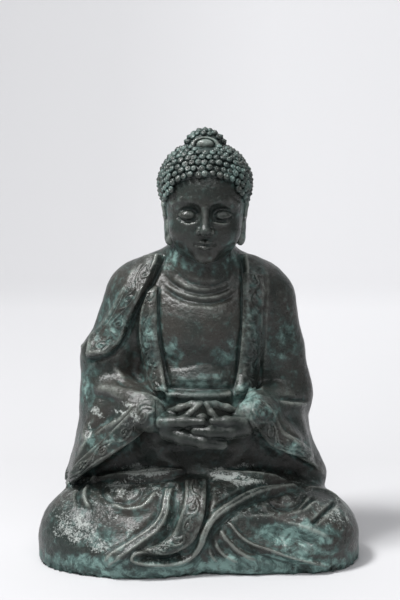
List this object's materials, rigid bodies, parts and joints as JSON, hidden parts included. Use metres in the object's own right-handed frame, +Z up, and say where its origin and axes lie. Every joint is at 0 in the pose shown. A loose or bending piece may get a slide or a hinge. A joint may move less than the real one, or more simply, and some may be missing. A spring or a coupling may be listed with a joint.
{
  "type": "buddha figure",
  "caption": "Seated buddha in flowing robes with snail-curl hair and hands joined in the lap, cast in bronze in one piece with the robe hem that it sits on.",
  "frame": {"origin": "on the flat underside, below the middle of the figure", "axes": "+Z up to the crown, -Y towards the front, +X to the figure's left, which is the viewer's right"},
  "size_m": [0.3201, 0.2074, 0.4264],
  "materials": {
    "patinated_bronze": "cast bronze with a dark brown semi-gloss patina, verdigris in the hollows and chalky deposits on the knees"
  },
  "bodies": {
    "root": {"buddha_figure": "patinated_bronze"}
  },
  "joints": []
}
